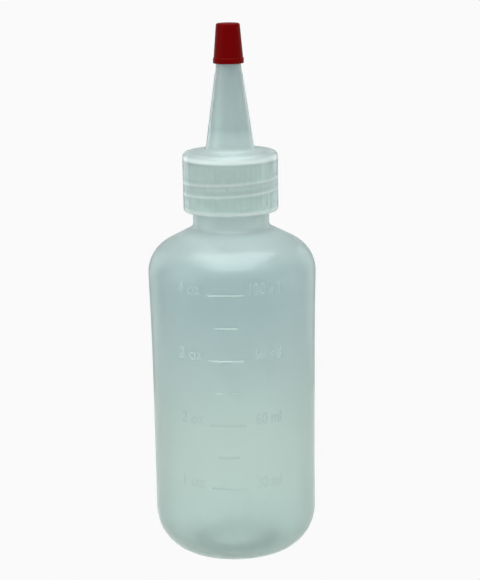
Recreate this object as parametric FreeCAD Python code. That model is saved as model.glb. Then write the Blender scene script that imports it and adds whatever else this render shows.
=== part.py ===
"""Squeeze bottle for glue: a blow-moulded Boston round with a screw-on spout cap and a tip cap.

The frame has +Z up, with the origin at the centre of the base ring. The bottle's front, with the
volume marks, faces -Y. Lengths are in millimetres.

The pieces are the bottle, a liner washer on the neck's rim, the spout cap and the tip cap.
"""

import FreeCAD
import Part

import math
import os

V = FreeCAD.Vector
UP = V(0, 0, 1)
CENTRE = V(0, 0, 0)

# Bottle body
BODY_D = 47.0  # outside, just under the shoulder
BODY_TAPER = 1.2  # the body is this much narrower just above the heel
BODY_TOP_Z = 80.6  # where the straight side ends and the shoulder begins
HEEL_W = 10.0  # how far the heel curves in from the side
HEEL_H = 12.0  # how far it curves up from the base ring
RING_W = 1.2  # flat ring that the bottle stands on
PUSH_UP = 3.0  # how far the base domes up inside the ring
WALL = 1.0
SIDE_SINK = 0.15  # how far the side bows in, halfway up

# Shoulder and neck, a 24-410 finish
SHOULDER_R = 10.1  # arc from the side onto the slope
SHOULDER_SLOPE = 27.6  # degrees above level
NECK_FILLET = 2.0
NECK_D = 21.2  # thread root
NECK_WALL = 1.9
FINISH_H = 17.2  # from the foot of the neck to its rim
PITCH = 3.175  # eight turns to the inch, right-hand
THREAD_DEPTH = 1.1
THREAD_ROOT_W = 1.6
THREAD_CREST_W = 0.7
THREAD_TURNS = 1.5
THREAD_TOP_GAP = 3.0  # rim down to the middle of the thread's upper end
THREAD_START = 180  # degrees; both threads start at the left

# Volume marks on the front, raised from the wall
MARK_COUNT = 7  # four whole ounces with three halves between them
MARK_LOW_Z = 23.9
MARK_STEP = 9.12
MARK_LONG = 10.1
MARK_SHORT = 6.2
MARK_H = 0.5
MARK_OUT = 0.2
MARK_TURN = -4.6  # degrees round from the front, towards -X

# Liner washer between the rim and the cap
LINER_T = 1.0
LINER_LAP = 0.5  # reaches past the rim, into the cap's gap

# Spout cap
SKIRT_WALL = 1.25  # at the smooth rim
CAP_FIT = 0.3  # gap between each thread's crest and the root it faces
SKIRT_H = 16.4  # foot of the skirt up to the deck's edge
RIB_INSET = 0.05  # rib crests lie inside the rim by this
BEAD_EDGE = 0.3
SKIRT_BEAD_H = 1.2  # plain band at the skirt's foot
RIM_H = 2.5  # plain band at the top, corner included
CORNER = 1.5
DECK_T = 2.8
RIB_COUNT = 54
RIB_DEPTH = 0.15
CAP_TURNS = 1.25  # length of the cap's thread
CAP_THREAD_EASE = 0.15  # the cap's thread is this much narrower than the neck's
SEAL_LIP_H = 2.2  # ring on the deck's underside that plugs the neck
SEAL_LIP_T = 0.9
SEAL_LIP_FIT = 0.15

# Spout, one piece with its cap
SPOUT_BASE_D = 13.5
DECK_RISE = 0.5  # the deck slopes up by this to the spout
SPOUT_FILLET = 1.2
CONE_H = 20.3  # long cone, up to the step under the tip
STEP_H = 1.3
STEP_W = 0.32  # the cone ends wider than the tip by this, all round
TIP_D = 7.18  # end section that the tip cap goes over, at its foot
TIP_TAPER = 1.88  # it is this much narrower at its top
TIP_H = 13.2  # step included
SPOUT_WALL = 1.2
ORIFICE_D = 1.8
ORIFICE_L = 2.0

# Tip cap
TIPCAP_H = 10.85
TIPCAP_FIT = 0.08
TIPCAP_TOP_T = 1.0
TIPCAP_WALL = 0.52
FLANGE_OUT = 0.2  # the flange stands out from the wall by this
FLANGE_H = 1.5
TIPCAP_CORNER = 0.4

# Derived sizes
BODY_R = BODY_D / 2
BASE_R = BODY_R - BODY_TAPER / 2
RING_R = BASE_R - HEEL_W
NECK_R = NECK_D / 2
BORE_R = NECK_R - NECK_WALL
CREST_R = NECK_R + THREAD_DEPTH
SLOPE = math.radians(SHOULDER_SLOPE)
SIDE_MID_Z = (HEEL_H + BODY_TOP_Z) / 2
SLOPE_START_R = BODY_R - SHOULDER_R + SHOULDER_R * math.sin(SLOPE)
SLOPE_START_Z = BODY_TOP_Z + SHOULDER_R * math.cos(SLOPE)
NECK_FOOT_Z = SLOPE_START_Z + (SLOPE_START_R - NECK_R) * math.tan(SLOPE)
RIM_Z = NECK_FOOT_Z + FINISH_H
DECK_UNDER_Z = RIM_Z + LINER_T
CAP_TOP_Z = DECK_UNDER_Z + DECK_T
SKIRT_FOOT_Z = CAP_TOP_Z - SKIRT_H
SKIRT_IN_R = CREST_R + CAP_FIT
CAP_R = SKIRT_IN_R + SKIRT_WALL
SPOUT_R = SPOUT_BASE_D / 2
TIP_R = TIP_D / 2
TIP_TOP_R = TIP_R - TIP_TAPER / 2
CONE_TOP_R = TIP_R + STEP_W
SPOUT_FOOT_Z = CAP_TOP_Z + DECK_RISE
CONE_TOP_Z = SPOUT_FOOT_Z + CONE_H
SPOUT_TOP_Z = CONE_TOP_Z + TIP_H
TIPCAP_TOP_Z = SPOUT_TOP_Z + TIPCAP_TOP_T
TIPCAP_FOOT_Z = TIPCAP_TOP_Z - TIPCAP_H

EMBED = 0.3  # how far a thread or a mark is sunk into the wall that carries it
FLANK = (THREAD_ROOT_W - THREAD_CREST_W) / 2 / THREAD_DEPTH  # width that a flank gives up per depth
MID_ARC = 1 - math.sqrt(0.5)  # share of its radius that a quarter arc's middle lies inside the corner


def point(r, z):
    return V(r, 0, z)


def line(a, b):
    return Part.LineSegment(point(*a), point(*b)).toShape()


def arc(a, mid, b):
    return Part.Arc(point(*a), point(*mid), point(*b)).toShape()


def revolve(edges):
    """Solid of revolution about Z from edges in the XZ plane that close on themselves."""
    face = Part.Face(Part.Wire(edges))
    return face.revolve(CENTRE, UP, 360)


def turned(corners):
    """Solid of revolution about Z from a closed polygon of (radius, height) corners."""
    loop = corners + [corners[0]]
    return revolve([line(a, b) for a, b in zip(loop, loop[1:])])


def fillet_points(vertex, toward_a, toward_b, radius):
    """Ends and middle of the arc that rounds a corner between two straight lines."""
    ux, uz = toward_a[0] - vertex[0], toward_a[1] - vertex[1]
    wx, wz = toward_b[0] - vertex[0], toward_b[1] - vertex[1]
    ul, wl = math.hypot(ux, uz), math.hypot(wx, wz)
    ux, uz, wx, wz = ux / ul, uz / ul, wx / wl, wz / wl
    half = math.acos(ux * wx + uz * wz) / 2
    run = radius / math.tan(half)
    bx, bz = ux + wx, uz + wz
    bl = math.hypot(bx, bz)
    reach = radius / math.sin(half) - radius
    start = (vertex[0] + ux * run, vertex[1] + uz * run)
    middle = (vertex[0] + bx / bl * reach, vertex[1] + bz / bl * reach)
    end = (vertex[0] + wx * run, vertex[1] + wz * run)
    return start, middle, end


def wall_radius(z):
    """Outside radius of the body's side at a height: a slight taper with a slight bow inwards."""
    share = (z - HEEL_H) / (BODY_TOP_Z - HEEL_H)
    return BASE_R + (BODY_R - BASE_R) * share - SIDE_SINK * 4 * share * (1 - share)


def shell_profile(inset):
    """Edges from the base ring to the neck's foot, moved into the wall by inset."""
    heel_w, heel_h = HEEL_W - inset, HEEL_H - inset
    slope_in = inset / math.cos(SLOPE)
    ring = (RING_R, inset)
    side_low = (BASE_R - inset, HEEL_H)
    side_top = (BODY_R - inset, BODY_TOP_Z)
    side_mid = (wall_radius(SIDE_MID_Z) - inset, SIDE_MID_Z)
    arc_r = SHOULDER_R - inset
    arc_mid = (BODY_R - SHOULDER_R + arc_r * math.cos((math.pi / 2 - SLOPE) / 2),
               BODY_TOP_Z + arc_r * math.sin((math.pi / 2 - SLOPE) / 2))
    arc_end = (BODY_R - SHOULDER_R + arc_r * math.sin(SLOPE), BODY_TOP_Z + arc_r * math.cos(SLOPE))
    neck_r = NECK_R if inset == 0 else BORE_R
    foot = (neck_r, SLOPE_START_Z + (SLOPE_START_R - neck_r) * math.tan(SLOPE) - slope_in)
    neck_top = (neck_r, RIM_Z)
    start, middle, end = fillet_points(foot, arc_end, neck_top, NECK_FILLET)
    heel = ellipse_arc((RING_R, HEEL_H), heel_w, heel_h)
    edges = [
        heel,
        arc(side_low, side_mid, side_top),
        arc(side_top, arc_mid, arc_end),
        line(arc_end, start),
        arc(start, middle, end),
        line(end, neck_top),
    ]
    return ring, neck_top, edges


def ellipse_arc(centre, half_w, half_h, steps=12):
    """Quarter ellipse from straight below its centre round to its right-hand side."""
    pts = []
    for i in range(steps + 1):
        t = math.pi / 2 * i / steps
        pts.append(point(centre[0] + half_w * math.sin(t), centre[1] - half_h * math.cos(t)))
    curve = Part.BSplineCurve()
    curve.interpolate(pts, InitialTangent=V(1, 0, 0), FinalTangent=V(0, 0, 1))
    return curve.toShape()


def dome_arc(radius, low_z, high_z):
    """Arc of the push-up, from its edge in to the axis."""
    rise = high_z - low_z
    sphere = (radius * radius + rise * rise) / (2 * rise)
    half = math.asin(radius / sphere) / 2
    mid = (sphere * math.sin(half), high_z - sphere * (1 - math.cos(half)))
    return arc((radius, low_z), mid, (0, high_z))


def helix_thread(start_z, root_r, crest_r, root_w, crest_w, turns):
    """Right-hand thread of trapezoid section; the middle of its lower end is at start_z."""
    path = Part.makeHelix(PITCH, PITCH * turns, root_r)
    corners = [
        point(root_r, -root_w / 2),
        point(crest_r, -crest_w / 2),
        point(crest_r, crest_w / 2),
        point(root_r, root_w / 2),
    ]
    section = Part.makePolygon(corners + [corners[0]])
    thread = Part.Wire(path.Edges).makePipeShell([section], True, True)
    thread.rotate(CENTRE, UP, THREAD_START)
    thread.translate(V(0, 0, start_z))
    return thread


def neck_thread():
    """Thread outside the neck, sunk a little into its wall."""
    start_z = RIM_Z - THREAD_TOP_GAP - THREAD_TURNS * PITCH
    sunk_w = THREAD_ROOT_W + 2 * FLANK * EMBED
    return helix_thread(start_z, NECK_R - EMBED, CREST_R, sunk_w, THREAD_CREST_W, THREAD_TURNS)


def cap_thread():
    """Thread inside the skirt, half a pitch from the neck's, so it runs between the turns."""
    start_z = RIM_Z - THREAD_TOP_GAP - (THREAD_TURNS - 0.5) * PITCH
    sunk_w = THREAD_ROOT_W - CAP_THREAD_EASE + 2 * FLANK * EMBED
    crest_w = THREAD_CREST_W - CAP_THREAD_EASE
    return helix_thread(start_z, SKIRT_IN_R + EMBED, NECK_R + CAP_FIT, sunk_w, crest_w, CAP_TURNS)


def volume_mark(index):
    """One raised bar that follows the wall; whole ounces are long, halves are short."""
    z = MARK_LOW_Z + index * MARK_STEP
    length = MARK_LONG if index % 2 == 0 else MARK_SHORT
    r = wall_radius(z)
    sweep = math.degrees(length / r)
    ring = turned([
        (r - EMBED, z - MARK_H / 2),
        (r + MARK_OUT, z - MARK_H / 2),
        (r + MARK_OUT, z + MARK_H / 2),
        (r - EMBED, z + MARK_H / 2),
    ])
    wedge = Part.makeCylinder(BODY_R * 2, MARK_H * 2, V(0, 0, z - MARK_H), UP, sweep)
    bar = ring.common(wedge)
    bar.rotate(CENTRE, UP, -90 + MARK_TURN - sweep / 2)
    return bar


def make_bottle():
    ring, rim_out, outer = shell_profile(0)
    ring_in, rim_in, inner = shell_profile(WALL)
    dome_r = RING_R - RING_W
    base = [
        dome_arc(dome_r, 0, PUSH_UP),
        line((0, PUSH_UP), (0, 0)),
        line((0, 0), (dome_r, 0)),
    ]
    rim_centre = (0, RIM_Z)
    floor_centre = (0, WALL + PUSH_UP)
    body = revolve([line((0, 0), ring)] + outer + [line(rim_out, rim_centre), line(rim_centre, (0, 0))])
    dome = revolve(base)
    floor = dome_arc(RING_R, WALL, WALL + PUSH_UP)
    inside = inner + [line(rim_in, rim_centre), line(rim_centre, floor_centre)]
    core = revolve([floor.reversed()] + inside)
    bottle = body.cut(dome).cut(core)
    marks = [volume_mark(i) for i in range(MARK_COUNT)]
    return bottle.fuse([neck_thread()] + marks)


def make_liner():
    outer = Part.makeCylinder(NECK_R + LINER_LAP, LINER_T, V(0, 0, RIM_Z))
    hole = Part.makeCylinder(BORE_R, LINER_T, V(0, 0, RIM_Z))
    return outer.cut(hole)


def ribbed_band(low_z, high_z):
    """Prism with a shallow rib at each step round it, root to crest."""
    corners = []
    crest = CAP_R - RIB_INSET
    root = crest - RIB_DEPTH
    step = 2 * math.pi / RIB_COUNT
    for i in range(RIB_COUNT):
        for share, r in ((0.0, root), (0.25, root), (0.5, crest), (0.75, crest)):
            a = step * (i + share)
            corners.append(V(r * math.cos(a), r * math.sin(a), low_z))
    wire = Part.makePolygon(corners + [corners[0]])
    return Part.Face(wire).extrude(V(0, 0, high_z - low_z))


def make_spout_cap():
    rim_low = CAP_TOP_Z - RIM_H
    bead_top = SKIRT_FOOT_Z + SKIRT_BEAD_H
    tip_foot = (TIP_R, CONE_TOP_Z + STEP_H)
    tip_top = (TIP_TOP_R, SPOUT_TOP_Z)
    corner = ((CAP_R, CAP_TOP_Z - CORNER), (CAP_R - CORNER, CAP_TOP_Z))
    rim_mid = (CAP_R - CORNER * MID_ARC, CAP_TOP_Z - CORNER * MID_ARC)
    foot = (SPOUT_R, SPOUT_FOOT_Z)
    cone_top = (CONE_TOP_R, CONE_TOP_Z)
    start, middle, end = fillet_points(foot, corner[1], cone_top, SPOUT_FILLET)
    head = revolve([
        line((0, rim_low), (CAP_R, rim_low)),
        line((CAP_R, rim_low), corner[0]),
        arc(corner[0], rim_mid, corner[1]),
        line(corner[1], start),
        arc(start, middle, end),
        line(end, cone_top),
        line(cone_top, tip_foot),
        line(tip_foot, tip_top),
        line(tip_top, (0, SPOUT_TOP_Z)),
        line((0, SPOUT_TOP_Z), (0, rim_low)),
    ])
    skirt = ribbed_band(bead_top, rim_low)
    bead_r = CAP_R - RIB_INSET
    bead = turned([
        (0, SKIRT_FOOT_Z),
        (bead_r - BEAD_EDGE, SKIRT_FOOT_Z),
        (bead_r, SKIRT_FOOT_Z + BEAD_EDGE),
        (bead_r, bead_top),
        (0, bead_top),
    ])
    hollow = Part.makeCylinder(SKIRT_IN_R, DECK_UNDER_Z - SKIRT_FOOT_Z, V(0, 0, SKIRT_FOOT_Z))
    lip_out = BORE_R - SEAL_LIP_FIT
    lip = Part.makeCylinder(lip_out, SEAL_LIP_H + EMBED, V(0, 0, DECK_UNDER_Z - SEAL_LIP_H))
    passage = turned([
        (0, DECK_UNDER_Z - SEAL_LIP_H),
        (lip_out - SEAL_LIP_T, DECK_UNDER_Z - SEAL_LIP_H),
        (lip_out - SEAL_LIP_T, DECK_UNDER_Z),
        (SPOUT_R - SPOUT_WALL, SPOUT_FOOT_Z - DECK_T / 2),
        (CONE_TOP_R - SPOUT_WALL, CONE_TOP_Z),
        (ORIFICE_D / 2, SPOUT_TOP_Z - ORIFICE_L),
        (ORIFICE_D / 2, SPOUT_TOP_Z),
        (0, SPOUT_TOP_Z),
    ])
    cap = head.fuse([skirt, bead]).cut(hollow)
    cap = cap.fuse([lip, cap_thread()]).cut(passage)
    return cap.removeSplitter()


def spout_tip_radius(z):
    """Outside radius of the spout's end section at a height."""
    foot_z = CONE_TOP_Z + STEP_H
    share = (z - foot_z) / (SPOUT_TOP_Z - foot_z)
    return TIP_R + (TIP_TOP_R - TIP_R) * share


def make_tip_cap():
    flange_z = TIPCAP_FOOT_Z + FLANGE_H
    corner_z = TIPCAP_TOP_Z - TIPCAP_CORNER
    bore_low = spout_tip_radius(TIPCAP_FOOT_Z) + TIPCAP_FIT
    bore_high = spout_tip_radius(SPOUT_TOP_Z) + TIPCAP_FIT
    body_r = bore_low + TIPCAP_WALL
    top_r = bore_high + TIPCAP_WALL
    flange_r = body_r + FLANGE_OUT
    corner_mid = (top_r - TIPCAP_CORNER * MID_ARC, TIPCAP_TOP_Z - TIPCAP_CORNER * MID_ARC)
    outer = revolve([
        line((0, TIPCAP_FOOT_Z), (flange_r, TIPCAP_FOOT_Z)),
        line((flange_r, TIPCAP_FOOT_Z), (flange_r, flange_z)),
        line((flange_r, flange_z), (body_r, flange_z)),
        line((body_r, flange_z), (top_r, corner_z)),
        arc((top_r, corner_z), corner_mid, (top_r - TIPCAP_CORNER, TIPCAP_TOP_Z)),
        line((top_r - TIPCAP_CORNER, TIPCAP_TOP_Z), (0, TIPCAP_TOP_Z)),
        line((0, TIPCAP_TOP_Z), (0, TIPCAP_FOOT_Z)),
    ])
    bore = turned([
        (0, TIPCAP_FOOT_Z),
        (bore_low, TIPCAP_FOOT_Z),
        (bore_high, SPOUT_TOP_Z),
        (0, SPOUT_TOP_Z),
    ])
    return outer.cut(bore)


NODES = {
    "bottle": make_bottle,
    "seal_liner": make_liner,
    "spout_cap": make_spout_cap,
    "tip_cap": make_tip_cap,
}

os.makedirs("parts", exist_ok=True)
for name, make in NODES.items():
    shape = make()
    if len(shape.Solids) != 1 or not shape.isValid():
        raise ValueError(name + " isn't one valid solid")
    print(name, round(shape.Volume), "mm3")
    shape.Solids[0].exportStep("parts/" + name + ".step")
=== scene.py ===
"""Glue applicator bottle: milky squeeze bottle, ribbed cap with a long spout, and red tip cap.

Every piece is a surface worked out with numpy. Lengths in the tables below are in millimetres, and
each mesh is written in metres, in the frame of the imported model: +Z up, marks facing -Y.
"""
import math

import bpy
import numpy as np
from mathutils import Matrix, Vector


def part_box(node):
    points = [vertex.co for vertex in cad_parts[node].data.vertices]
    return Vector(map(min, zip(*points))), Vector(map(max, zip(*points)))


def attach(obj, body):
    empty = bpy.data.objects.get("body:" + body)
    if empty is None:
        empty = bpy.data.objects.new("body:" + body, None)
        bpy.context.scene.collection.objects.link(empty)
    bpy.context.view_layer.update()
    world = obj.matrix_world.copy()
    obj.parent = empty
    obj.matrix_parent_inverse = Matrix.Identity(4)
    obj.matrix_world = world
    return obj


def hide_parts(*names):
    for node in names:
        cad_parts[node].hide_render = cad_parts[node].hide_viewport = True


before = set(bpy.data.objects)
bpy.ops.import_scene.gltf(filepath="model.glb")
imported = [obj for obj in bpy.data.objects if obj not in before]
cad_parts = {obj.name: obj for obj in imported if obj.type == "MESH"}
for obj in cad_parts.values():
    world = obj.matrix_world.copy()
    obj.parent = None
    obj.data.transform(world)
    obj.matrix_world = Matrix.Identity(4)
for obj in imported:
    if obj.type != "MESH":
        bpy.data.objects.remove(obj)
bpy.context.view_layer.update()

MM = 0.001
_, BOTTLE_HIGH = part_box("bottle")
_, LINER_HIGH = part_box("seal_liner")
CAP_LOW, CAP_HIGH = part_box("spout_cap")
TIP_LOW, TIP_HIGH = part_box("tip_cap")

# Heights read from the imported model
RIM_Z = BOTTLE_HIGH[2] / MM
LINER_TOP_Z = LINER_HIGH[2] / MM
SKIRT_FOOT_Z = CAP_LOW[2] / MM
SPOUT_TOP_Z = CAP_HIGH[2] / MM
TIPCAP_FOOT_Z = TIP_LOW[2] / MM
TIPCAP_TOP_Z = TIP_HIGH[2] / MM

# Columns of each mesh round the axis; the cap's are counted to a rib
BODY_COLUMNS, LINER_COLUMNS, TIPCAP_COLUMNS, RIB_COLUMNS = 288, 96, 128, 8
NO_TRIS = np.zeros((0, 3), int)

# Bottle
BODY_R = BOTTLE_HIGH[0] / MM
BODY_TAPER = 0.6
BASE_R = BODY_R - BODY_TAPER
BODY_TOP_Z = 80.6
HEEL_W = 10.0
HEEL_H = 12.0
RING_W = 1.2
PUSH_UP = 3.0
WALL = 1.0
SIDE_SINK = 0.15
SHOULDER_R = 10.1
SLOPE = math.radians(27.6)
NECK_FILLET = 2.0
NECK_R = 10.6
BORE_R = 8.7
WAVE_TWO, WAVE_THREE = 0.05, 0.03  # depths of the slow waves, two and three to the round
WAVE_FADE = 12.0  # they fade out over this at each end of the side

# Threads: root and crest are their widths at the foot and at the top
PITCH = 3.175
THREAD_START = math.pi
THREAD_FADE = 0.11  # share of the length over which each end grows or dies away
THREAD_SINK = 0.25  # each thread starts this far inside the wall it stands on
THREAD_DROP = 3.0  # the neck's thread ends this far below the rim
NECK_TURNS = 1.5
THREAD_END_Z = RIM_Z - THREAD_DROP
NECK_THREAD_Z = THREAD_END_Z - NECK_TURNS * PITCH
NECK_CREST_R = NECK_R + 1.1
NECK_THREAD_ROOT, NECK_THREAD_CREST = 1.6, 0.7
CAP_TURNS = 1.25
CAP_THREAD_Z = NECK_THREAD_Z + PITCH / 2
CAP_CREST_R = NECK_R + 0.3
CAP_THREAD_ROOT, CAP_THREAD_CREST = 1.45, 0.55

# Volume marks
MARK_COUNT = 7
MARK_LOW_Z = 23.9
MARK_STEP = 9.12
MARK_TURN = math.radians(-4.6)
LONG_HALF, SHORT_HALF = 4.95, 3.0
BAR_HALF_OUT, BAR_HALF_UP = 0.15, 0.25
BAR_LIFT = 0.02
LETTER_SIZE = 4.6
LETTER_DEPTH = 0.14
LETTER_BEVEL = 0.05
LETTER_LIFT = 0.1
OUNCE_START, OUNCE_WIDTH = math.radians(-38.5), 6.8
ML_END, ML_PER_LETTER = math.radians(33.0), 1.5

# Spout cap
CAP_R = CAP_HIGH[0] / MM
CREST_R = CAP_R - 0.01
SKIRT_H = 16.4
DECK_EDGE_Z = SKIRT_FOOT_Z + SKIRT_H
SKIRT_IN_R = 12.0
RIM_BAND = 2.5
FOOT_BAND = 1.2
CORNER = 1.5
RIB_COUNT = 54
RIB_DEPTH = 0.06
DECK_RISE = 0.5
SPOUT_R = 6.75
CONE_TOP_R = 3.91
TIP_H = 13.2
CONE_TOP_Z = SPOUT_TOP_Z - TIP_H
STEP_H = 1.3
TIP_R = 3.59
TIP_TOP_R = 2.65
ORIFICE_R = 0.9
ORIFICE_L = 2.0
SPOUT_WALL = 1.2
PASSAGE_DROP = 1.4  # the passage's wide end lies this far below the spout's foot
LIP_IN_R, LIP_OUT_R, LIP_H = 7.65, 8.55, 2.2

# Tip cap
TIPCAP_FIT = 0.08
FLANGE_R = TIP_HIGH[0] / MM
TIPCAP_R = FLANGE_R - 0.2
TIPCAP_TOP_R = 3.25
FLANGE_H = 1.45
DIMPLE = 0.22

# Finishes: the painted shade of the base's fold; the thread's painted highlight bands and the
# painted shadow gaps above them, with widths in turns of pitch; and the heights between which the
# raised marks go from faint to strong, and from grey to a pale painted highlight
FOLD_R, FOLD_W = 10.7, 1.1
FOLD_LOW_Z, FOLD_HIGH_Z = 3.0, 5.0
BAND_W, BAND_HIGHLIGHT_SHARE, BAND_MILK = 0.2, 0.42, 0.5
GAP_AT, GAP_W, GAP_SHADOW_SHARE = 0.4, 0.12, 0.22
BAND_FADE_LOW, BAND_FADE_HIGH = 0.7, 0.9
RELIEF_LOW_Z, RELIEF_HIGH_Z = 42.0, 58.0

# Stage, in metres
TABLE_SIDE, TABLE_BACK, TABLE_DROP = 1.5, 0.144, 0.0001
WHITE = 0.955
ROOM = 0.52
TINT = (0.86, 1.0, 0.98, 1)
FLOOR_TINT = (0.88, 1.0, 0.93, 1)


# ---------------------------------------------------------------- surfaces

def skin(points, closed_rows=False):
    """Vertices, four-cornered and three-cornered faces over a grid of points, shape (rows,
    columns, 3). Columns always join up round the piece. Rows join up too when closed_rows is
    true; otherwise the first and last row each shrink to one point, a pole."""
    rows, columns, _ = points.shape
    column = np.arange(columns)
    after = (column + 1) % columns
    if closed_rows:
        verts = points.reshape(-1, 3)
        low = np.arange(rows) * columns
        high = np.roll(low, -1)
        fans = NO_TRIS
    else:
        verts = np.vstack([points[0, :1], points[1:-1].reshape(-1, 3), points[-1, :1]])
        low = 1 + np.arange(rows - 3) * columns
        high = low + columns
        last = 1 + (rows - 3) * columns
        fans = np.vstack([
            np.stack([np.zeros_like(column), 1 + after, 1 + column], axis=-1),
            np.stack([np.full_like(column, len(verts) - 1), last + column, last + after], axis=-1),
        ])
    low, high = low[:, None], high[:, None]
    quads = np.stack([low + column, low + after, high + after, high + column], axis=-1)
    return verts, quads.reshape(-1, 4), fans


def grid_mesh(name, points, closed_rows=False):
    """Mesh over a grid of points in millimetres."""
    verts, quads, fans = skin(points, closed_rows)
    return polygon_mesh(name, verts * MM, quads, fans)


def polygon_mesh(name, verts, quads, tris):
    """Mesh object from vertex positions in metres and arrays of four- and three-cornered faces."""
    mesh = bpy.data.meshes.new(name)
    mesh.vertices.add(len(verts))
    mesh.vertices.foreach_set("co", np.ascontiguousarray(verts, float).ravel())
    corners = np.concatenate([quads.ravel(), tris.ravel()])
    mesh.loops.add(len(corners))
    mesh.loops.foreach_set("vertex_index", corners)
    sizes = np.concatenate([np.full(len(quads), 4), np.full(len(tris), 3)])
    starts = np.concatenate([[0], np.cumsum(sizes)[:-1]])
    mesh.polygons.add(len(sizes))
    mesh.polygons.foreach_set("loop_start", starts)
    mesh.polygons.foreach_set("use_smooth", np.ones(len(sizes), bool))
    mesh.update(calc_edges=True)
    mesh.validate()
    piece = bpy.data.objects.new(name, mesh)
    bpy.context.scene.collection.objects.link(piece)
    return piece


def soften(path, radius, steps=5, sharp=math.radians(14)):
    """Profile with each sharp corner changed to an arc of the given radius, or of as large a
    radius as its shorter neighbour allows: the arc starts and ends radius / tan(half the inside
    angle) from the corner, and lies on the bisector."""
    path = np.asarray(path, float)
    out = [path[0]]
    for before, at, beyond in zip(path[:-2], path[1:-1], path[2:]):
        back, on = before - at, beyond - at
        back_l, on_l = np.linalg.norm(back), np.linalg.norm(on)
        back, on = back / back_l, on / on_l
        half = math.acos(np.clip(back @ on, -1, 1)) / 2
        if math.pi - 2 * half < sharp:
            out.append(at)
            continue
        run = min(radius / math.tan(half), 0.45 * back_l, 0.45 * on_l)
        r = run * math.tan(half)
        centre = at + (back + on) / np.linalg.norm(back + on) * r / math.sin(half)
        start, end = at + back * run - centre, at + on * run - centre
        sweep = math.pi - 2 * half
        t = np.linspace(0, 1, steps)[:, None]
        spoke = np.sin((1 - t) * sweep) * start + np.sin(t * sweep) * end
        out.extend(centre + spoke / math.sin(sweep))
    out.append(path[-1])
    return np.array(out)


def refine(path, longest):
    """Profile with each stretch split evenly, so that no step is longer than longest."""
    pieces = [path[:1]]
    for a, b in zip(path[:-1], path[1:]):
        n = max(1, math.ceil(np.linalg.norm(b - a) / longest))
        pieces.append(a + (b - a) * np.linspace(0, 1, n + 1)[1:, None])
    return np.vstack(pieces)


def turn(profile, columns):
    """Surface of revolution: each profile point (r, z) goes to (r cos a, r sin a, z)."""
    angle = np.arange(columns) * 2 * np.pi / columns
    r, z = profile[:, 0, None], profile[:, 1, None]
    return np.stack([r * np.cos(angle), r * np.sin(angle), z + 0 * angle], axis=-1)


def side_radius(z):
    """Outside radius of the body's side: a taper from base to shoulder, less a shallow bow."""
    share = (z - HEEL_H) / (BODY_TOP_Z - HEEL_H)
    return BASE_R + (BODY_R - BASE_R) * share - SIDE_SINK * 4 * share * (1 - share)


def wall_profile(inset):
    """Wall from the base ring to the shoulder's slope, moved in by inset: a quarter ellipse for
    the heel, the bowed side, then a circular arc on to the slope."""
    t = np.linspace(0, np.pi / 2, 16)
    heel_r = BASE_R - HEEL_W + (HEEL_W - inset) * np.sin(t)
    heel = np.stack([heel_r, HEEL_H - (HEEL_H - inset) * np.cos(t)], 1)
    z = np.linspace(HEEL_H, BODY_TOP_Z, 34)
    side = np.stack([side_radius(z) - inset, z], 1)
    a = np.linspace(0, np.pi / 2 - SLOPE, 14)
    arc_r = SHOULDER_R - inset
    arc_z = BODY_TOP_Z + arc_r * np.sin(a)
    arc = np.stack([BODY_R - SHOULDER_R + arc_r * np.cos(a), arc_z], 1)
    return np.vstack([heel, side[1:], arc[1:]])


def neck_corner(inset, r):
    """Point where the shoulder's slope, moved in by inset, meets a cylinder of radius r."""
    start_r = BODY_R - SHOULDER_R + SHOULDER_R * math.sin(SLOPE)
    start_z = BODY_TOP_Z + SHOULDER_R * math.cos(SLOPE)
    return [r, start_z + (start_r - r) * math.tan(SLOPE) - inset / math.cos(SLOPE)]


def fillet(path, index, radius, steps=9):
    """Profile with one corner rounded by an arc of its own radius."""
    rounded = soften(path[index - 1:index + 2], radius, steps)
    return np.vstack([path[:index], rounded[1:-1], path[index + 1:]])


def bottle_surface():
    """The bottle's whole skin: from the middle of the domed base out and up to the rim, then down
    the inside to the middle of the floor, turned about the axis. A few slow waves a few hundredths
    of a millimetre deep run over the body, as on any blown wall."""
    outer, inner = wall_profile(0), wall_profile(WALL)
    ring_r = BASE_R - HEEL_W
    t = np.linspace(0, 1, 10)[:, None]
    dome_out = np.hstack([(ring_r - RING_W) * t, PUSH_UP * (1 - t * t)])
    dome_in = np.hstack([ring_r * t, WALL + PUSH_UP * (1 - t * t)])
    neck = fillet(np.array([outer[-1], neck_corner(0, NECK_R), [NECK_R, RIM_Z]]), 1, NECK_FILLET)
    bore = fillet(np.array([inner[-1], neck_corner(WALL, BORE_R), [BORE_R, RIM_Z]]), 1, NECK_FILLET)
    path = np.vstack([dome_out, outer, neck[1:], bore[::-1], inner[::-1][1:], dome_in[::-1][1:]])
    path = refine(soften(path, 0.3), 1.6)
    points = turn(path, BODY_COLUMNS)
    angle = np.arctan2(points[..., 1], points[..., 0])
    z = points[..., 2]
    share = np.clip((z - HEEL_H) / WAVE_FADE, 0, 1) * np.clip((BODY_TOP_Z - z) / WAVE_FADE, 0, 1)
    wave = WAVE_TWO * np.sin(2 * angle + 0.07 * z) + WAVE_THREE * np.sin(3 * angle - 0.11 * z + 1.0)
    deepest = WAVE_TWO + WAVE_THREE
    points[..., :2] *= (1 + share * (wave - deepest) / BODY_R)[..., None]
    return points


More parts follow.
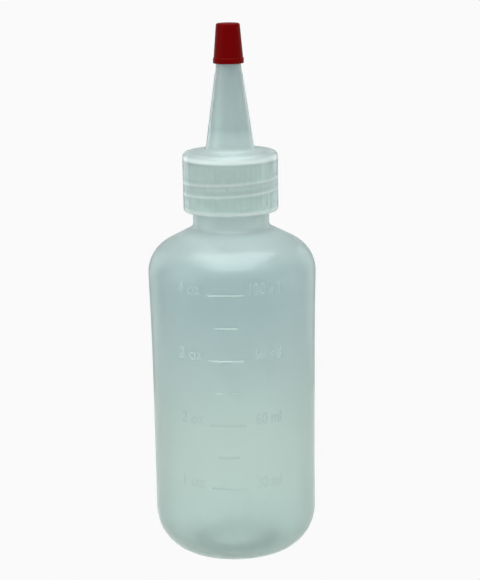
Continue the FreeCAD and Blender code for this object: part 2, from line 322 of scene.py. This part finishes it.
def thread_surface(start_z, root_r, crest_r, root_w, crest_w, turns):
    """A thread: a rounded trapezoid carried up a right-hand helix, z = pitch * angle / 2 pi. It
    grows from nothing and dies away to nothing over the first and last ninth of its length."""
    t = np.linspace(0, 1, 200)[:, None]
    grow = np.clip(t / THREAD_FADE, 0, 1) * np.clip((1 - t) / THREAD_FADE, 0, 1)
    grow = np.sin(grow * np.pi / 2)
    sunk = root_r - THREAD_SINK * np.sign(crest_r - root_r)
    section = np.array([
        [sunk, -root_w / 2], [root_r, -root_w / 2], [crest_r, -crest_w / 2],
        [crest_r, crest_w / 2], [root_r, root_w / 2], [sunk, root_w / 2],
    ])
    loop = np.vstack([section[-1:], section, section[:1]])
    section = soften(loop, 0.25, 4)[1:-1]
    r = sunk + (section[:, 0] - sunk) * grow
    rise = section[:, 1] * grow
    angle = THREAD_START + t * turns * 2 * np.pi
    z = start_z + PITCH * turns * t + rise
    points = np.stack([r * np.cos(angle), r * np.sin(angle), z], axis=-1)
    return points if crest_r > root_r else points[:, ::-1]


def cap_surface():
    """The spout cap's whole skin, turned about the axis: skirt, rim, sloping deck, cone, tip,
    passage, seal lip and the skirt's inside. Between the plain bands the skirt's radius falls by
    RIB_DEPTH in the groove beside each rib, as a rounded square wave of the angle."""
    rim_low = DECK_EDGE_Z - RIM_BAND
    bead_top = SKIRT_FOOT_Z + FOOT_BAND
    deck_z = DECK_EDGE_Z + DECK_RISE
    deck_under = LINER_TOP_Z
    outside = [
        [SKIRT_IN_R, SKIRT_FOOT_Z], [CREST_R - 0.25, SKIRT_FOOT_Z],
        [CREST_R - 0.06, SKIRT_FOOT_Z + 0.35], [CREST_R, bead_top],
        [CREST_R - 0.02, bead_top + 0.12], [CREST_R, rim_low - 0.12], [CAP_R, rim_low + 0.1],
        [CAP_R, DECK_EDGE_Z - CORNER],
    ]
    a = np.linspace(0, np.pi / 2 - 0.26, 9)[1:, None]
    edge_z = DECK_EDGE_Z - CORNER + CORNER * np.sin(a)
    edge = np.hstack([CAP_R - CORNER + CORNER * np.cos(a), edge_z])
    deck = fillet(np.array([edge[-1], [SPOUT_R, deck_z], [CONE_TOP_R, CONE_TOP_Z]]), 1, 1.3)[1:]
    end = [
        [TIP_R, CONE_TOP_Z + STEP_H], [TIP_TOP_R, SPOUT_TOP_Z], [ORIFICE_R, SPOUT_TOP_Z],
        [ORIFICE_R, SPOUT_TOP_Z - ORIFICE_L], [CONE_TOP_R - SPOUT_WALL, CONE_TOP_Z],
        [SPOUT_R - SPOUT_WALL, deck_z - PASSAGE_DROP], [LIP_IN_R, deck_under],
        [LIP_IN_R, deck_under - LIP_H], [LIP_OUT_R, deck_under - LIP_H], [LIP_OUT_R, deck_under],
        [SKIRT_IN_R, deck_under],
    ]
    path = soften(np.vstack([outside, edge, deck, end, outside[:2]]), 0.22, 4)[:-1]
    path = refine(path, 1.5)[:-1]
    columns = RIB_COUNT * RIB_COLUMNS
    points = turn(path, columns)
    angle = np.arange(columns) * 2 * np.pi / columns
    r, z = path[:, 0, None], path[:, 1, None]
    band = np.clip((z - bead_top) / 0.5, 0, 1) * np.clip((rim_low - z) / 0.5, 0, 1)
    band = band * (r > SKIRT_IN_R + 0.4)
    groove = 0.5 + 0.5 * np.tanh(2.2 * np.cos(RIB_COUNT * angle)) / math.tanh(2.2)
    share = 1 - band * groove * RIB_DEPTH / CAP_R
    points[..., :2] *= share[..., None]
    return points


def liner_surface():
    """Flat washer with rounded edges: a closed profile turned about the axis."""
    low, high = RIM_Z, LINER_TOP_Z
    inner, outer = BORE_R, NECK_R + 0.5
    path = [[inner, low], [outer, low], [outer, high], [inner, high], [inner, low], [outer, low]]
    return turn(refine(soften(path, 0.3)[1:-1], 1.0)[:-1], LINER_COLUMNS)


def tip_cap_surface():
    """Red tip cap: from the middle of its ceiling down the bore, round the flange and up the
    tapered outside to the middle of its top, turned about the axis. The top dips slightly."""
    share = (TIPCAP_FOOT_Z - CONE_TOP_Z - STEP_H) / (TIP_H - STEP_H)
    bore_low = TIP_R + (TIP_TOP_R - TIP_R) * share + TIPCAP_FIT
    ceiling = SPOUT_TOP_Z + 0.03
    flange_z = TIPCAP_FOOT_Z + FLANGE_H
    path = np.array([
        [0, ceiling], [TIP_TOP_R + TIPCAP_FIT, ceiling], [bore_low, TIPCAP_FOOT_Z],
        [FLANGE_R, TIPCAP_FOOT_Z], [FLANGE_R, flange_z - 0.1], [TIPCAP_R, flange_z + 0.15],
        [TIPCAP_TOP_R, TIPCAP_TOP_Z], [1.9, TIPCAP_TOP_Z], [1.6, TIPCAP_TOP_Z - 0.18],
        [0, TIPCAP_TOP_Z - DIMPLE],
    ])
    path = fillet(path, 6, 0.6, 7)
    return turn(refine(soften(path, 0.18), 0.7), TIPCAP_COLUMNS)


def bars_mesh(name):
    """Raised volume bars in one mesh. Each is a rounded slab bent round the side: with u along it
    and v round its section, its ends close to points, as the section is scaled by
    (1 - |u|^40)^(1/4)."""
    u = np.sin(np.linspace(-np.pi / 2, np.pi / 2, 61))[:, None]
    v = np.linspace(0, 2 * np.pi, 25)[:-1]
    size = np.clip(1 - np.abs(u) ** 40, 0, 1) ** 0.25
    square = np.maximum(np.abs(np.cos(v)), np.abs(np.sin(v))) ** 0.7
    across, out = np.cos(v) / square, np.sin(v) / square
    verts, quads, fans, count = [], [], [], 0
    for index in range(MARK_COUNT):
        z = MARK_LOW_Z + index * MARK_STEP
        half = SHORT_HALF if index % 2 else LONG_HALF
        r0 = side_radius(z)
        angle = -np.pi / 2 + MARK_TURN + u * half / r0
        r = r0 + BAR_LIFT + BAR_HALF_OUT * out * size
        rise = z + BAR_HALF_UP * across * size
        bar = skin(np.stack([r * np.cos(angle), r * np.sin(angle), rise], axis=-1))
        verts.append(bar[0])
        quads.append(bar[1] + count)
        fans.append(bar[2] + count)
        count += len(bar[0])
    return polygon_mesh(name, np.vstack(verts) * MM, np.vstack(quads), np.vstack(fans))


def numerals_mesh(name):
    """Raised volume numerals, bent round the side: a flat letter point (x, y, depth) goes to angle
    start + x / radius, height z + y and radius side + depth."""
    verts, faces, count, labels = [], [], 0, []
    for ounces in (1, 2, 3, 4):
        z = MARK_LOW_Z + (ounces - 1) * 2 * MARK_STEP
        millilitres = str(ounces * 30) + " ml"
        width = ML_PER_LETTER * len(millilitres)
        labels.append((str(ounces) + " oz", z, OUNCE_START, OUNCE_WIDTH))
        labels.append((millilitres, z, ML_END - width / BODY_R, width))
    for text, z, start, width in labels:
        curve = bpy.data.curves.new("numeral", "FONT")
        curve.body = text
        curve.size = LETTER_SIZE
        curve.extrude = LETTER_DEPTH
        curve.bevel_depth = LETTER_BEVEL
        curve.bevel_resolution = 1
        holder = bpy.data.objects.new("numeral", curve)
        bpy.context.scene.collection.objects.link(holder)
        bpy.context.view_layer.update()
        shown = holder.evaluated_get(bpy.context.evaluated_depsgraph_get())
        flat = bpy.data.meshes.new_from_object(shown)
        co = np.empty(len(flat.vertices) * 3)
        flat.vertices.foreach_get("co", co)
        co = co.reshape(-1, 3)
        r0 = side_radius(z + co[:, 1])
        x = (co[:, 0] - co[:, 0].min()) * width / np.ptp(co[:, 0])
        angle = -np.pi / 2 + start + x / r0
        r, rise = r0 + co[:, 2], z + LETTER_LIFT + co[:, 1]
        verts.append(np.stack([r * np.cos(angle), r * np.sin(angle), rise], axis=-1))
        faces.extend([[v + count for v in p.vertices] for p in flat.polygons])
        count += len(co)
        bpy.data.objects.remove(holder)
        bpy.data.meshes.remove(flat)
        bpy.data.curves.remove(curve)
    mesh = bpy.data.meshes.new(name)
    mesh.from_pydata((np.vstack(verts) * MM).tolist(), [], faces)
    mesh.update()
    piece = bpy.data.objects.new(name, mesh)
    bpy.context.scene.collection.objects.link(piece)
    return piece


# ---------------------------------------------------------------- finishes

class Wire:
    """One shader socket. An operator on it adds a Math node."""

    def __init__(self, finish, socket):
        self.finish = finish
        self.socket = socket

    def math(self, operation, *values):
        return self.finish.node("Math", {"operation": operation}, dict(enumerate(values)))

    def __add__(self, other):
        return self.math("ADD", self, other)

    def __sub__(self, other):
        return self.math("SUBTRACT", self, other)

    def __rsub__(self, other):
        return self.math("SUBTRACT", other, self)

    def __mul__(self, other):
        return self.math("MULTIPLY", self, other)

    def __truediv__(self, other):
        return self.math("DIVIDE", self, other)

    def __pow__(self, other):
        return self.math("POWER", self, other)

    def __abs__(self):
        return self.math("ABSOLUTE", self)

    def clamped(self):
        return self.math("MINIMUM", self.math("MAXIMUM", self, 0.0), 1.0)

    __radd__ = __add__
    __rmul__ = __mul__


class Finish:
    """A material, built node by node. x, y, z are the surface's own coordinates in millimetres."""

    def __init__(self, name):
        self.material = bpy.data.materials.new(name)
        self.material.use_nodes = True
        self.tree = self.material.node_tree
        self.tree.nodes.clear()
        self.place = self.node("TexCoord", output="Object")
        self.x, self.y, self.z = (
            self.node("SeparateXYZ", None, {0: self.place}, axis) * 1000 for axis in "XYZ")

    def node(self, kind, settings=None, inputs=None, output=0):
        """Adds any node: its settings first, a ramp's stops among them, then its sockets."""
        made = self.tree.nodes.new("ShaderNode" + kind)
        for key, value in (settings or {}).items():
            if key == "stops":
                ramp = made.color_ramp.elements
                for stop, (at, shade) in enumerate(value):
                    element = ramp[stop] if stop < 2 else ramp.new(at)
                    element.position = at
                    element.color = shade
            else:
                setattr(made, key, value)
        for key, value in (inputs or {}).items():
            if isinstance(value, Wire):
                self.tree.links.new(value.socket, made.inputs[key])
            else:
                made.inputs[key].default_value = value
        return Wire(self, made.outputs[output])

    def noise(self, scale, detail=3.0, rough=0.5, stretch=(1, 1, 1)):
        """Noise from 0 to 1 with about scale lumps to the millimetre."""
        stretch = [1000 * s for s in stretch]
        place = self.node("VectorMath", {"operation": "MULTIPLY"}, {0: self.place, 1: stretch})
        sockets = {"Vector": place, "Scale": scale, "Detail": detail, "Roughness": rough}
        return self.node("TexNoise", None, sockets)

    def mix(self, share, a, b):
        """Colour between a and b."""
        return self.node("Mix", {"data_type": "RGBA"}, {0: share, 6: a, 7: b}, 2)

    def step(self, value, low, high):
        """0 below low, 1 above high, and a straight run between."""
        return self.node("MapRange", None, {"Value": value, "From Min": low, "From Max": high})

    def ring(self, value, centre, width):
        """1 where value is at centre, falling to 0 at width either side."""
        return (1 - abs(value - centre) / width).clamped()

    def by_height(self, stops):
        """Colour that changes with height, from (height, colour) stops."""
        low, high = stops[0][0], stops[-1][0]
        ramp = [((z - low) / (high - low), (*shade, 1)) for z, shade in stops]
        return self.node("ValToRGB", {"stops": ramp}, {"Fac": (self.z - low) / (high - low)})

    def bump(self, height, distance):
        """Normal tilted by height, which stands for up to distance metres."""
        return self.node("Bump", None, {"Height": height, "Distance": distance, "Strength": 1.0})

    def surface(self, sockets):
        """The material, with one plain shader."""
        return self.finished(self.node("BsdfPrincipled", None, sockets))

    def finished(self, shader):
        """The material, with shader as its surface."""
        out = self.tree.nodes.new("ShaderNodeOutputMaterial")
        self.tree.links.new(shader.socket, out.inputs["Surface"])
        return self.material


def milky(name, shades, milk, cloud, roughness, coat, fold_r=None, thread_low=None):
    """Natural polyethylene: clear plastic mixed with milky plastic, milkier and paler where it is
    thick. shades and milk give its colour and its share of milk at heights in millimetres; both
    also carry painted light, paler at some heights and darker at others where the light falls. It
    has slow clouds in its depth, a faint orange peel, and a few soft scuffs. With fold_r, the fold
    of the base at that radius gets painted shade, a dark ring. With thread_low, the height at which
    the thread starts, the skirt gets paler bands, partly its thicker plastic over the thread and
    partly painted highlight, with painted shadow gaps above them: the bands lie where height above
    thread_low, in turns of pitch, less the angle round the axis, in turns, is whole."""
    f = Finish(name)
    colour = f.by_height(shades)
    share = f.by_height([(z, (m, m, m)) for z, m in milk])
    clouds = f.noise(0.08, 4.0, 0.55)
    colour = f.mix((clouds - 0.35).clamped() * cloud, colour, (0.62, 0.66, 0.65, 1))
    # Painted shade: a dark ring at the base's fold, milkier there too.
    if fold_r:
        across = (f.x * f.x + f.y * f.y) ** 0.5
        fold = f.ring(across, fold_r, FOLD_W) * (1 - f.step(f.z, FOLD_LOW_Z, FOLD_HIGH_Z))
        colour = f.mix(fold, colour, (0.06, 0.09, 0.09, 1))
        share = share + fold
    # Painted highlight bands, partly the skirt's thicker plastic over the thread, and painted
    # shadow gaps above them.
    if thread_low:
        round_axis = f.y.math("ARCTAN2", f.y, f.x) / (2 * math.pi)
        climb = (f.z - thread_low) / PITCH - round_axis + 0.5
        across = climb.math("FRACT", climb + 0.5) - 0.5
        above_foot = f.step(f.z, thread_low - BAND_FADE_LOW, thread_low)
        inside = above_foot * (1 - f.step(f.z, THREAD_END_Z, THREAD_END_Z + BAND_FADE_HIGH))
        band = f.ring(across, 0.0, BAND_W) * BAND_HIGHLIGHT_SHARE * inside
        painted_gap_shadow = f.ring(across, GAP_AT, GAP_W) * GAP_SHADOW_SHARE * inside
        colour = f.mix(painted_gap_shadow, f.mix(band, colour, (1, 1, 1, 1)), (0.45, 0.52, 0.48, 1))
        share = share + band * BAND_MILK
    scuffs = f.step(f.noise(0.12, 3.0, 0.5, (1, 1, 0.5)), 0.5, 0.75)
    sockets = {
        "Base Color": colour,
        "Roughness": scuffs * 0.04 + roughness,
        "Normal": f.bump(f.noise(0.5, 2.0), 0.00001),
        "IOR": 1.5,
        "Coat Weight": coat - scuffs * coat * 0.2,
        "Coat Roughness": 0.08,
    }
    clear = f.node("BsdfPrincipled", None, {**sockets, "Transmission Weight": 1.0})
    dense = f.node("BsdfPrincipled", None, {
        **sockets,
        "Subsurface Weight": 1.0,
        "Subsurface Radius": (1.0, 1.0, 1.0),
        "Subsurface Scale": 0.002,
    })
    return f.finished(f.node("MixShader", None, {0: share, 1: clear, 2: dense}))


def raised(name, cover, faint):
    """Moulded relief on the wall: the wall's own plastic, seen only where it is thicker, so it
    covers what lies under it by a share: cover high up and faint low down. High up its colour is
    pale, a painted highlight of the light on its raised edges; low down, where the wall behind is
    brighter, it is the greyer of the two."""
    f = Finish(name)
    grain = f.noise(1.5, 3.0)
    height = f.step(f.z, RELIEF_LOW_Z, RELIEF_HIGH_Z)
    return f.surface({
        # Pale high up: a painted highlight.
        "Base Color": f.mix(height, (0.40, 0.50, 0.48, 1), (0.92, 1.0, 0.98, 1)),
        "Roughness": grain * 0.1 + 0.3,
        "Alpha": (height * (cover - faint) + faint) * (grain * 0.4 + 0.8),
        "Specular IOR Level": 0.2,
    })


def red_tip(name):
    """Red polyethylene, moulded: soft gloss and faint flow lines down its length."""
    f = Finish(name)
    flow = f.noise(0.9, 4.0, 0.6, (1, 1, 0.12))
    colour = f.mix(flow, (0.13, 0.0, 0.0005, 1), (0.18, 0.0003, 0.0008, 1))
    return f.surface({
        "Base Color": colour,
        "Roughness": f.noise(0.6, 4.0) * 0.16 + 0.3,
        "Normal": f.bump(f.noise(1.6, 3.0), 0.00002),
        "Specular IOR Level": 0.03,
    })


def foam(name):
    """White foamed polyethylene: fine closed cells as pits in the surface."""
    f = Finish(name)
    cells = f.noise(3.0, 2.0)
    return f.surface({
        "Base Color": f.mix(cells, (0.74, 0.75, 0.72, 1), (0.86, 0.87, 0.84, 1)),
        "Roughness": cells * 0.2 + 0.6,
        "Normal": f.bump(cells, 0.0001),
    })


# Painted light: the wall's colour by height is set to how light falls on it, darker at the foot and
# high on the side, paler low on the side and at the shoulder and neck. Its milk rises at the neck,
# partly for the thicker wall there and partly as painted light.
WALL_SHADES_AND_LIGHT = [
    (0, (0.78, 0.86, 0.86)), (14, (0.83, 0.91, 0.905)), (27, (0.87, 0.95, 0.925)),
    (38, (0.86, 0.93, 0.91)), (50, (0.85, 0.925, 0.93)), (62, (0.82, 0.91, 0.93)),
    (75, (0.77, 0.875, 0.90)), (82, (0.79, 0.89, 0.91)), (89, (0.89, 0.98, 0.99)),
    (97, (0.87, 1.0, 1.0)), (111, (0.87, 1.0, 1.0)),
]
WALL_MILK_AND_LIGHT = [(0, 0.15), (8, 0.17), (14, 0.22), (80, 0.22), (90, 0.3), (94, 0.55), (111, 0.5)]
# Painted highlights in the cap's colour and milk: a pale band at the skirt's foot, 97 to 98.8, and
# a pale line at the deck's corner, 112.7 to 113.1.
CAP_SHADES_AND_HIGHLIGHTS = [
    (97, (0.95, 1.0, 1.0)), (98.8, (0.95, 1.0, 1.0)), (99.6, (0.84, 0.96, 0.92)),
    (112.1, (0.85, 0.98, 0.96)), (112.7, (0.95, 1.0, 1.0)), (113.1, (0.95, 1.0, 1.0)),
    (113.9, (0.88, 0.97, 0.97)), (117, (0.88, 0.97, 0.97)),
    (121, (0.79, 0.86, 0.86)), (134, (0.73, 0.78, 0.80)), (149, (0.73, 0.78, 0.80)),
]
CAP_MILK_AND_HIGHLIGHTS = [
    (97, 0.6), (98.8, 0.6), (99.6, 0.34), (112.1, 0.36), (112.7, 0.72), (113.1, 0.72),
    (113.9, 0.44), (116.5, 0.44), (121, 0.28), (149, 0.28),
]
THREAD_SHADES = [(97, (0.97, 1.0, 1.0)), (111, (0.97, 1.0, 1.0))]
THREAD_MILK = [(97, 0.95), (111, 0.95)]
BODY = milky("natural_wall", WALL_SHADES_AND_LIGHT, WALL_MILK_AND_LIGHT, 0.3, 0.29, 0.3, FOLD_R)
CAP = milky("natural_cap", CAP_SHADES_AND_HIGHLIGHTS, CAP_MILK_AND_HIGHLIGHTS, 0.2, 0.12, 0.4, None, NECK_THREAD_Z)
THREADS = milky("natural_threads", THREAD_SHADES, THREAD_MILK, 0.1, 0.3, 0.2)
BARS = raised("raised_bars", 0.34, 0.1)
NUMERALS = raised("raised_numerals", 0.16, 0.045)
RED = red_tip("red_tip")
FOAM = foam("foam_liner")


# ---------------------------------------------------------------- pieces

def add(piece, finish, body, slot, *nodes):
    """Gives a piece its finish, the body it rides on and the model's solids it stands for."""
    piece.data.materials.append(finish)
    if nodes:
        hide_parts(*nodes)
    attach(piece, body)


NECK_THREAD = thread_surface(
    NECK_THREAD_Z, NECK_R, NECK_CREST_R, NECK_THREAD_ROOT, NECK_THREAD_CREST, NECK_TURNS)
CAP_THREAD = thread_surface(
    CAP_THREAD_Z, SKIRT_IN_R, CAP_CREST_R, CAP_THREAD_ROOT, CAP_THREAD_CREST, CAP_TURNS)

add(grid_mesh("bottle_wall", bottle_surface()), BODY, "bottle", "natural_polyethylene", "bottle")
add(grid_mesh("neck_thread", NECK_THREAD), THREADS, "bottle", "natural_polyethylene")
add(bars_mesh("volume_bars"), BARS, "bottle", "natural_polyethylene")
add(numerals_mesh("volume_numerals"), NUMERALS, "bottle", "natural_polyethylene")
add(grid_mesh("liner_washer", liner_surface(), True), FOAM, "liner", "foam_liner", "seal_liner")
add(grid_mesh("cap_and_spout", cap_surface(), True),
    CAP, "spout_cap", "natural_polyethylene_cap", "spout_cap")
add(grid_mesh("cap_thread", CAP_THREAD), THREADS, "spout_cap", "natural_polyethylene_cap")
add(grid_mesh("red_tip_cap", tip_cap_surface()), RED, "tip_cap", "red_polyethylene", "tip_cap")


# ---------------------------------------------------------------- stage, lights, camera

def frame_matrix(right, up, back, place):
    """Matrix of something at place, with these three directions as its own x, y and z."""
    return Matrix([*zip(right, up, back, place), (0, 0, 0, 1)])


def stage_floor():
    """White table top that ends a little way behind the bottle. Its brightness is its own, so the
    bottle stands on plain white."""
    side = [[-TABLE_SIDE, -TABLE_SIDE], [TABLE_SIDE, -TABLE_SIDE],
            [TABLE_SIDE, TABLE_BACK], [-TABLE_SIDE, TABLE_BACK]]
    verts = np.hstack([side, np.full((4, 1), -TABLE_DROP)])
    floor = polygon_mesh("table_top", verts, np.array([[0, 1, 2, 3]]), NO_TRIS)
    f = Finish("table_white")
    colour = f.mix(f.node("LightPath"), FLOOR_TINT, (1, 1, 1, 1))
    glow = f.node("Emission", None, {"Color": colour, "Strength": WHITE})
    floor.data.materials.append(f.finished(glow))


def studio_light(name, place, aim, size, radiance):
    """Soft rectangular light at place, facing aim, as bright as radiance all over."""
    data = bpy.data.lights.new(name, "AREA")
    data.shape = "RECTANGLE"
    data.size, data.size_y = size
    data.energy = radiance * math.pi * size[0] * size[1]
    data.color = TINT[:3]
    lamp = bpy.data.objects.new(name, data)
    lamp.visible_transmission = False
    bpy.context.scene.collection.objects.link(lamp)
    back = np.array(place, float) - np.array(aim)
    back /= np.linalg.norm(back)
    right = np.cross([0, 1, 0], back)
    right /= np.linalg.norm(right)
    up = np.cross(back, right)
    lamp.matrix_world = frame_matrix(right, up, back, place)


def backdrop():
    """White to the camera, a plain grey room to everything else."""
    world = bpy.data.worlds.new("studio")
    bpy.context.scene.world = world
    world.use_nodes = True
    tree = world.node_tree
    tree.nodes.clear()
    path = tree.nodes.new("ShaderNodeLightPath")
    seen = tree.nodes.new("ShaderNodeBackground")
    seen.inputs["Color"].default_value = (1, 1, 1, 1)
    seen.inputs["Strength"].default_value = WHITE
    room = tree.nodes.new("ShaderNodeBackground")
    room.inputs["Color"].default_value = TINT
    room.inputs["Strength"].default_value = ROOM
    mix = tree.nodes.new("ShaderNodeMixShader")
    out = tree.nodes.new("ShaderNodeOutputWorld")
    tree.links.new(path.outputs["Is Camera Ray"], mix.inputs[0])
    tree.links.new(room.outputs[0], mix.inputs[1])
    tree.links.new(seen.outputs[0], mix.inputs[2])
    tree.links.new(mix.outputs[0], out.inputs["Surface"])


def camera():
    """Camera in front of the marks and above them, tipped down, turned a little to the right so
    that the bottle stands left of the middle, and rolled so that the bottle leans left."""
    distance, height, down, yaw, roll = 0.4546, 0.1783, 12.81, 0.263, 0.94
    down, yaw, roll = (math.radians(v) for v in (down, yaw, roll))
    level = math.cos(yaw)
    ahead = np.array([math.sin(yaw), level * math.cos(down), -level * math.sin(down)])
    right = np.cross(ahead, [0, 0, 1])
    right /= np.linalg.norm(right)
    up = np.cross(right, ahead)
    cos, sin = math.cos(roll), math.sin(roll)
    right, up = right * cos - up * sin, up * cos + right * sin
    place = (0, -distance, height)
    data = bpy.data.cameras.new("camera")
    data.sensor_fit = "VERTICAL"
    data.sensor_height = 36
    data.lens = 102.65
    data.clip_start = 0.01
    eye = bpy.data.objects.new("camera", data)
    bpy.context.scene.collection.objects.link(eye)
    eye.matrix_world = frame_matrix(right, up, -ahead, place)
    bpy.context.scene.camera = eye


stage_floor()
studio_light("overhead", (0.0, -0.25, 0.85), (0.0, -0.25, 0.0), (0.95, 1.15), 2.85)
studio_light("panel_left", (-0.7, -0.25, 0.16), (0.0, 0.0, 0.08), (0.5, 0.5), 1.05)
studio_light("edge_left", (-0.6, 0.6, 0.1), (0.0, 0.0, 0.08), (0.7, 0.4), 0.7)
studio_light("edge_right", (0.6, 0.6, 0.1), (0.0, 0.0, 0.08), (0.7, 0.4), 0.7)
studio_light("panel_right", (0.7, -0.27, 0.08), (0.0, 0.0, 0.05), (0.16, 0.3), 1.0)
studio_light("card_right", (0.33, 0.0, 0.05), (0.0, 0.0, 0.05), (0.08, 0.06), 1.5)
backdrop()
camera()
bpy.context.scene.view_settings.view_transform = "Standard"
